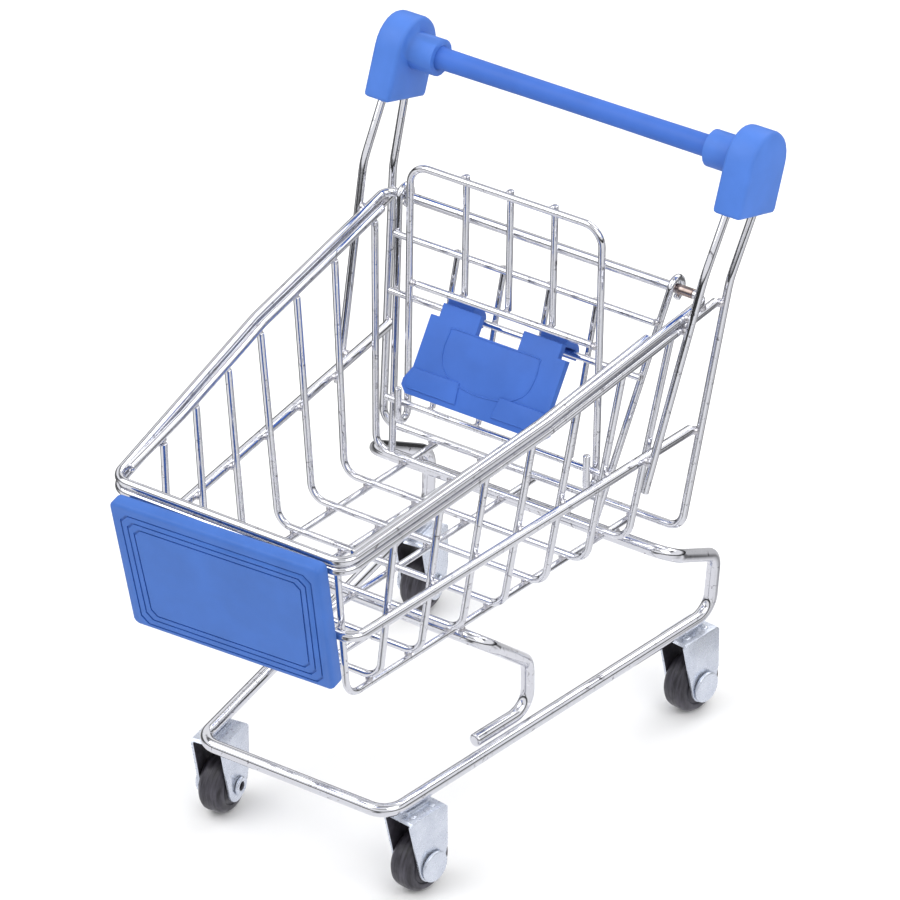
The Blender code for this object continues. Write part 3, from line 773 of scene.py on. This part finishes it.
# Radius, up from the peened end
RIVET_PEENED = ((2.15, 0.7), (2.1, 0.25), (1.75, 0.0), (1.15, 0.15))
RIVET_HOLE_R = 0.8
RIVET_HOLE_FROM = 0.55
RIVET_HOLE_DEEP = 1.5
# Where the hole's painted shade starts, and how far past the hole's floor and wall it reaches
HOLE_DARK_FROM = 0.3
HOLE_DARK_PAST = 0.1
HOLE_DARK_WIDER = 0.25

# Softening a CAD node: faces this flat are joined, and edges this sharp are rounded
FLAT_ANGLE = math.radians(0.6)
EDGE_ANGLE = math.radians(30.0)

BRACKET_SOFT = 0.12
BRACKET_SQUARE = 0.9
BRACKET_INSIDE_RISE = 6.0
DIMPLE_R = 0.9
DIMPLE_H = 0.4
DIMPLE_SINK = 0.15
DIMPLE_SPREAD = 2.9
DIMPLE_OUT = 1.9
DIMPLE_BACK = 1.0
DIMPLE_ROWS = 6
DIMPLE_STEPS = 20
FACES_UP = 0.99


def lathe(name, centre, axis, profile, steps, look, body, replaced, sharp=PIECE_SHARP):
    """A turned piece: the profile lists (radius, height along the axis) from top to bottom, mm."""
    axis = unit(np.array(axis))
    side = unit(np.cross(axis, LATHE_HINT))
    other = np.cross(axis, side)
    shape = bmesh.new()
    rings = []
    for radius, height in profile:
        middle = centre + axis * height
        if radius < ON_AXIS:
            rings.append([shape.verts.new(middle * MM)])
            continue
        ring = []
        for k in range(steps):
            angle = 2 * math.pi * k / steps
            offset = radius * (math.cos(angle) * side + math.sin(angle) * other)
            ring.append(shape.verts.new((middle + offset) * MM))
        rings.append(ring)
    for low, high in zip(rings, rings[1:]):
        if len(low) == len(high):
            join_rings(shape, [low, high])
            continue
        for k in range(steps):
            n = (k + 1) % steps
            if len(low) == 1:
                shape.faces.new((low[0], high[n], high[k]))
            else:
                shape.faces.new((low[k], low[n], high[0]))
    return new_object(name, shape, look, body, replaced, sharp)


def castor_wheel(name, joint):
    """The wheel: a hollow hub, a raised ring on each cheek and a mould seam round the tread."""
    centre, axis = joint_line(joint)
    height, reach = about_joint(f"{name}_wheel", joint)
    half, radius, bore = height.max(), reach.max(), reach.min()
    profile = [(bore + out, half - down) for out, down in WHEEL_HUB]
    profile += [(radius - inset, half - down) for inset, down in WHEEL_CHEEK]
    profile += [(radius - inset, off) for inset, off in WHEEL_SEAM]
    profile += [(r, -h) for r, h in reversed(profile[:-2])]
    profile = rounded(profile, WHEEL_SOFT, 2)
    profile.append(profile[0])
    body = NODES[f"{name}_wheel"]["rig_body"]
    piece = f"{name}_wheel_moulded"
    lathe(piece, centre, axis, profile, WHEEL_STEPS, TYRE, body, [f"{name}_wheel"])


def castor_rivet(name, joint):
    """The axle: a rivet with a low round head outside and a peened hollow end inside."""
    axle = f"{name}_axle"
    centre, axis = joint_line(joint)
    height, reach = about_joint(axle, joint)
    outward = 1.0 if abs(height.max()) > abs(height.min()) else -1.0
    head = reach.max()
    top, end = (height * outward).max(), (height * outward).min()
    profile = [(0.0, top - RIVET_DISH), (head * RIVET_DISH_SHARE, top - RIVET_DISH_EDGE)]
    profile += [(head - inset, top - down) for inset, down in RIVET_HEAD]
    profile.append((RIVET_SHANK_R, top - RIVET_HEAD[-1][1]))
    profile.append((RIVET_SHANK_R, end + RIVET_PEENED[0][1]))
    profile += [(radius, end + rise) for radius, rise in RIVET_PEENED]
    profile.append((RIVET_HOLE_R, end + RIVET_HOLE_FROM))
    profile.append((RIVET_HOLE_R, end + RIVET_HOLE_DEEP))
    profile.append((0.0, end + RIVET_HOLE_DEEP))
    profile = rounded(profile, RIVET_SOFT, 2)
    body = NODES[axle]["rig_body"]
    piece = f"{axle}_rivet"
    made = lathe(piece, centre, axis * outward, profile, RIVET_STEPS, STEEL, body, [axle])
    # Faces inside the hollow end get the near-black painted shade
    made.data.materials.append(PAINTED_SHADE)
    for face in made.data.polygons:
        offset = np.array(face.center) / MM - centre
        along = float(offset @ axis)
        depth = along * outward - end
        wide = np.linalg.norm(offset - axis * along)
        deep_enough = HOLE_DARK_FROM < depth < RIVET_HOLE_DEEP + HOLE_DARK_PAST
        if deep_enough and wide < RIVET_HOLE_R + HOLE_DARK_WIDER:
            face.material_index = 1


def refined(name, piece, look, width, segments=3):
    """A copy of the CAD node with its edges softened by width, mm."""
    shape = bmesh.new()
    shape.from_mesh(NODES[name].data)
    bmesh.ops.remove_doubles(shape, verts=shape.verts, dist=SAME_PLACE)
    bmesh.ops.dissolve_limit(shape, angle_limit=FLAT_ANGLE, verts=shape.verts, edges=shape.edges)
    if width:
        edges = []
        for edge in shape.edges:
            if len(edge.link_faces) == 2 and edge.calc_face_angle() > EDGE_ANGLE:
                edges.append(edge)
        bmesh.ops.bevel(
            shape,
            geom=edges,
            offset=width * MM,
            segments=segments,
            profile=0.5,
            affect="EDGES",
            clamp_overlap=True,
        )
    return new_object(piece, shape, look, NODES[name]["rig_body"], [name])


def castor_bracket(name, joint):
    """The bent sheet, with painted shade, a near-black look, on its inner faces."""
    bracket = f"{name}_bracket"
    made = refined(bracket, f"{bracket}_sheet", STEEL, BRACKET_SOFT, 2)
    axis = Vector(joint["axis"]).normalized()
    centre = Vector(joint["pos_m"])
    # Inner faces of the bracket get the painted shade
    made.data.materials.append(PAINTED_SHADE)
    for face in made.data.polygons:
        inward = (centre - face.center).normalized()
        across = (face.center - centre).dot(axis)
        along = face.normal.dot(axis)
        sideways = abs(along) > BRACKET_SQUARE and along * across < 0
        high = face.center.z > centre.z + BRACKET_INSIDE_RISE * MM
        below = face.normal.z < -BRACKET_SQUARE and high
        if (sideways or below) and face.normal.dot(inward) > 0:
            face.material_index = 1


def bracket_dimples(name, joint):
    """Two low pressed bumps on the bracket's top plate, outboard of the rail."""
    centre, axis = joint_line(joint)
    outward = axis * (1.0 if axis[0] * centre[0] > 0 else -1.0)
    along = np.cross(np.array([0.0, 0.0, 1.0]), axis)
    best, level = 0.0, 0.0
    for area, way, corners in flat_faces(f"{name}_bracket"):
        if way[2] > FACES_UP and area > best:
            best, level = area, float(corners[0, 0, 2])
    profile = [(0.0, DIMPLE_H + DIMPLE_SINK)]
    for step in range(1, DIMPLE_ROWS + 1):
        turn = math.pi / 2 * step / DIMPLE_ROWS
        profile.append((DIMPLE_R * math.sin(turn), DIMPLE_SINK + DIMPLE_H * math.cos(turn)))
    profile += [(DIMPLE_R, 0.0), (0.0, 0.0)]
    for number, side in enumerate((-1, 1)):
        spot = centre + outward * DIMPLE_OUT + along * (side * DIMPLE_SPREAD - DIMPLE_BACK)
        spot[2] = level - DIMPLE_SINK
        piece = f"{name}_dimple_{number + 1}"
        up = (0, 0, 1)
        lathe(piece, spot, up, profile, DIMPLE_STEPS, STEEL, "frame", (), FINE_SHARP)


# Handle bar, mm

BAR_STATIONS = 61
BAR_STEPS = 48
BAR_SAME_STATION = 0.06
BAR_LEAST_R = 0.1
BAR_SOCKET = 3.4
BAR_SOCKET_FILL = 0.28


def handle_bar():
    """The CAD's bar drawn round, filling the sockets in the caps."""
    points, _ = node_points("handle_bar")
    low, high = points.min(0), points.max(0)
    centre = np.array([0.0, (low[1] + high[1]) / 2, (low[2] + high[2]) / 2])
    stations = []
    for x in np.unique(np.round(points[:, 0], 1)):
        ring = points[np.abs(points[:, 0] - x) < BAR_SAME_STATION]
        radius = np.linalg.norm(ring[:, 1:] - centre[1:], axis=1).max()
        if radius > BAR_LEAST_R:
            stations.append((x, radius))
    places, radii = np.array(stations).T
    profile = [(0.0, high[0])]
    for x in np.linspace(places.max(), places.min(), BAR_STATIONS):
        radius = float(np.interp(x, places, radii))
        if abs(x) > places.max() - BAR_SOCKET:
            radius += BAR_SOCKET_FILL
        profile.append((radius, float(x)))
    profile.append((0.0, low[0]))
    body = NODES["handle_bar"]["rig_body"]
    piece = "handle_bar_moulded"
    right = (1, 0, 0)
    lathe(piece, centre, right, profile, BAR_STEPS, BAR_BLUE, body, ["handle_bar"])


# Seat plate details, measured on its face: x across, y up from the seat's hinge, mm

SEAT_SOFT = 0.25
SEAT_FACES_FRONT = -0.3
SEAT_CONTOUR = (
    (-10.4, -3.1),
    (-11.4, -4.2),
    (-11.6, -8.0),
    (-10.4, -11.6),
    (-6.6, -14.0),
    (0.0, -14.9),
    (6.6, -14.0),
    (10.4, -11.6),
    (11.6, -8.0),
    (11.4, -4.2),
    (10.4, -3.1),
    (0.0, -3.2),
)
SEAT_LINE_R = 0.17
SEAT_LINE_SIDES = 8
SEAT_PAD = (
    (4.6, -18.3),
    (16.9, -18.3),
    (18.0, -17.2),
    (17.6, -14.6),
    (16.6, -13.6),
    (5.2, -13.6),
)
SEAT_PAD_T = 0.35
SEAT_PAD_SINK = 0.2
SEAT_PAD_EDGE = 0.25
# Share of the pad's height, share of its sloping edge
SEAT_PAD_SLOPE = ((0.4, 0.0), (0.85, 0.5), (1.0, 1.0))


def seat_frame():
    """The seat face's centre point, its right, up and outward directions."""
    best, spot, normal = 0.0, None, None
    for area, way, corners in flat_faces("seat_plate"):
        if area > best and way[1] < SEAT_FACES_FRONT:
            best, spot, normal = area, corners.reshape(-1, 3), way
    right = np.array([1.0, 0.0, 0.0])
    up = np.cross(normal, right)
    pivot = np.array(JOINTS["seat"]["pos_m"], float) / MM
    pivot[0] = (spot[:, 0].min() + spot[:, 0].max()) / 2
    pivot = pivot + normal * float((spot[0] - pivot) @ normal)
    return pivot, right, up, normal


def raised_pad(shape, outline, place):
    """Adds a low pad with a sloping rim to a bmesh."""
    centre = np.mean(np.array(outline, float), axis=0)
    pivot, right, up, normal = place
    levels = [(-SEAT_PAD_SINK, 0.0)]
    levels += [(SEAT_PAD_T * rise, SEAT_PAD_EDGE * edge) for rise, edge in SEAT_PAD_SLOPE]
    rings = []
    for lift, shrink in levels:
        ring = []
        for corner in outline:
            x, y = np.array(corner) + unit(centre - np.array(corner)) * shrink
            ring.append(shape.verts.new((pivot + right * x + up * y + normal * lift) * MM))
        rings.append(ring)
    join_rings(shape, rings)
    shape.faces.new(rings[-1])
    shape.faces.new(list(reversed(rings[0])))


def seat_details():
    """The raised contour line and the two raised pads on the seat plate."""
    place = seat_frame()
    pivot, right, up, _ = place
    shape = bmesh.new()
    path = np.array([pivot + right * x + up * y for x, y in closed_curve(SEAT_CONTOUR)])
    tube(shape, path, SEAT_LINE_R, True, SEAT_LINE_SIDES)
    new_object("seat_contour", shape, SEAT_BLUE, "seat", (), FINE_SHARP)
    for side, word in ((-1, "left"), (1, "right")):
        shape = bmesh.new()
        raised_pad(shape, [(side * x, y) for x, y in SEAT_PAD], place)
        new_object(f"seat_pad_{word}", shape, SEAT_BLUE, "seat", (), PAD_SHARP)


# Studio. What polished metal sees of the room: shares of a full turn round the trolley, then
# shares of the way from straight down to straight up, each with a brightness

ROOM_ROUND = (
    (0.00, 0.16),
    (0.05, 0.14),
    (0.08, 0.50),
    (0.11, 1.00),
    (0.24, 0.95),
    (0.27, 0.30),
    (0.30, 0.10),
    (0.33, 0.80),
    (0.40, 1.00),
    (0.50, 0.95),
    (0.55, 0.55),
    (0.60, 0.95),
    (0.63, 0.20),
    (0.67, 0.16),
    (0.70, 0.60),
    (0.77, 0.62),
    (0.80, 0.24),
    (0.89, 0.22),
    (0.92, 0.48),
    (1.00, 0.16),
)
ROOM_UP = (
    (0.00, 0.03),
    (0.12, 0.05),
    (0.20, 0.40),
    (0.26, 0.95),
    (0.45, 1.00),
    (0.60, 0.95),
    (0.66, 0.22),
    (0.72, 0.12),
    (0.78, 0.95),
    (0.93, 1.05),
    (0.98, 0.45),
    (1.00, 0.25),
)
ROOM_WARMTH = 0.985
FLOOR_SIZE = 4.0
FLOOR_GRAIN = (40.0, 2.0)
FLOOR_STOPS = ((0.3, (0.92, 0.92, 0.92)), (0.7, (0.95, 0.95, 0.95)))
FLOOR_ROUGH = 0.9
FLOOR_SHEEN = 0.05
FLOOR_NEAR = (0.93, 0.93, 0.96)
FLOOR_BRIGHT_R = 0.085
FLOOR_FADE = 0.05
WHITE = (1.0, 1.0, 1.0, 1.0)
WORLD_LIGHT = 0.86
LAMP_AIM = Vector((0.0, 0.0, 0.07))
LAMPS = (
    ("key", (-0.50, -0.50, 1.00), 1.00, 5.5),
    ("fill", (0.80, -0.25, 0.90), 0.80, 3.5),
    ("rear", (0.10, 0.80, 0.90), 0.80, 3.5),
)

CAMERA_TARGET = Vector((0.0, 0.0190, 0.0716))
CAMERA_DISTANCE = 1.501
CAMERA_AZIMUTH = math.radians(34.68)
CAMERA_ELEVATION = math.radians(31.76)
CAMERA_ROLL = math.radians(-0.12)
CAMERA_SENSOR = 36.0
CAMERA_LENS = 284.4
CAMERA_SHIFT = (-0.0129, -0.0009)
CAMERA_CLIP = (0.05, 20.0)


def grey_ramp(tree, source, stops):
    ramp = tree.nodes.new("ShaderNodeValToRGB")
    elements = ramp.color_ramp.elements
    while len(elements) < len(stops):
        elements.new(0.5)
    for element, (place, value) in zip(elements, stops):
        element.position = place
        element.color = (value * ROOM_WARMTH, value * ROOM_WARMTH, value, 1.0)
    tree.links.new(source, ramp.inputs["Fac"])
    return ramp.outputs["Color"]


def seen_in_metal(tree, plain, room, output):
    """Polished metal sees the room, and everything else sees the plain look."""
    path = tree.nodes.new("ShaderNodeLightPath")
    mix = tree.nodes.new("ShaderNodeMixShader")
    tree.links.new(path.outputs["Is Glossy Ray"], mix.inputs["Fac"])
    tree.links.new(plain, mix.inputs[1])
    tree.links.new(room, mix.inputs[2])
    tree.links.new(mix.outputs["Shader"], tree.nodes[output].inputs["Surface"])


def floor_look():
    """Plain pale paper. Polished metal sees it bright near the trolley, and banded further off."""
    paper = Nodes("pale_floor")
    paper.set("Base Color", paper.ramp(paper.noise(*FLOOR_GRAIN), FLOOR_STOPS))
    paper.set("Roughness", FLOOR_ROUGH)
    paper.set("Specular IOR Level", FLOOR_SHEEN)
    place = paper.place()
    around = paper.add("ShaderNodeTexGradient", gradient_type="RADIAL")
    paper.link(place, around.inputs["Vector"])
    far = paper.add("ShaderNodeVectorMath", operation="LENGTH")
    paper.link(place, far.inputs[0])
    reach = paper.range(far.outputs["Value"], FLOOR_BRIGHT_R, FLOOR_BRIGHT_R + FLOOR_FADE)
    bands = grey_ramp(paper.tree, around.outputs["Fac"], ROOM_ROUND)
    glow = paper.add("ShaderNodeEmission")
    paper.link(paper.blend(reach, FLOOR_NEAR, bands), glow.inputs["Color"])
    plain, room = paper.shader.outputs["BSDF"], glow.outputs["Emission"]
    seen_in_metal(paper.tree, plain, room, "Material Output")
    return paper.material


def floor():
    mesh = bpy.data.meshes.new("floor")
    size = FLOOR_SIZE
    corners = [(-size, -size, 0), (size, -size, 0), (size, size, 0), (-size, size, 0)]
    mesh.from_pydata(corners, [], [(0, 1, 2, 3)])
    mesh.materials.append(floor_look())
    made = bpy.data.objects.new("floor", mesh)
    bpy.context.scene.collection.objects.link(made)


def studio():
    floor()
    world = bpy.data.worlds.new("studio")
    world.use_nodes = True
    bpy.context.scene.world = world
    tree = world.node_tree
    plain = tree.nodes["Background"]
    plain.inputs["Color"].default_value = WHITE
    plain.inputs["Strength"].default_value = WORLD_LIGHT
    coordinates = tree.nodes.new("ShaderNodeTexCoord")
    split = tree.nodes.new("ShaderNodeSeparateXYZ")
    tree.links.new(coordinates.outputs["Generated"], split.inputs["Vector"])
    room = tree.nodes.new("ShaderNodeBackground")
    tree.links.new(grey_ramp(tree, split.outputs["Z"], ROOM_UP), room.inputs["Color"])
    sky, bands = plain.outputs["Background"], room.outputs["Background"]
    seen_in_metal(tree, sky, bands, "World Output")
    for name, place, size, power in LAMPS:
        light = bpy.data.lights.new(name, "AREA")
        light.shape = "DISK"
        light.size = size
        light.energy = power
        lamp = bpy.data.objects.new(name, light)
        lamp.location = place
        lamp.rotation_euler = (LAMP_AIM - Vector(place)).to_track_quat("-Z", "Y").to_euler()
        bpy.context.scene.collection.objects.link(lamp)
    bpy.context.scene.view_settings.view_transform = "Standard"
    bpy.context.scene.view_settings.look = "None"


def camera():
    data = bpy.data.cameras.new("camera")
    data.sensor_width = CAMERA_SENSOR
    data.lens = CAMERA_LENS
    data.shift_x, data.shift_y = CAMERA_SHIFT
    data.clip_start, data.clip_end = CAMERA_CLIP
    made = bpy.data.objects.new("camera", data)
    ca, sa = math.cos(CAMERA_AZIMUTH), math.sin(CAMERA_AZIMUTH)
    ce, se = math.cos(CAMERA_ELEVATION), math.sin(CAMERA_ELEVATION)
    back = Vector((sa * ce, -ca * ce, se))
    right = Vector((ca, sa, 0.0))
    up = back.cross(right)
    cr, sr = math.cos(CAMERA_ROLL), math.sin(CAMERA_ROLL)
    right, up = cr * right + sr * up, -sr * right + cr * up
    turn = Matrix((right, up, back)).transposed().to_4x4()
    made.matrix_world = Matrix.Translation(CAMERA_TARGET + back * CAMERA_DISTANCE) @ turn
    bpy.context.scene.collection.objects.link(made)
    bpy.context.scene.camera = made


def main():
    camera()
    studio()
    build_wires()
    for end in ("front", "rear"):
        for side in ("left", "right"):
            name = f"castor_{end}_{side}"
            joint = JOINTS[NODES[f"{name}_wheel"]["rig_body"]]
            castor_wheel(name, joint)
            castor_rivet(name, joint)
            castor_bracket(name, joint)
            bracket_dimples(name, joint)
    handle_bar()
    for side in ("left", "right"):
        refined(f"handle_cap_{side}", f"handle_cap_{side}_moulded", BLUE, 0.0)
    refined("front_panel", "front_panel_moulded", PANEL_BLUE, 0.0)
    refined("seat_plate", "seat_plate_moulded", SEAT_BLUE, SEAT_SOFT)
    seat_details()


main()
bpy.context.view_layer.update()
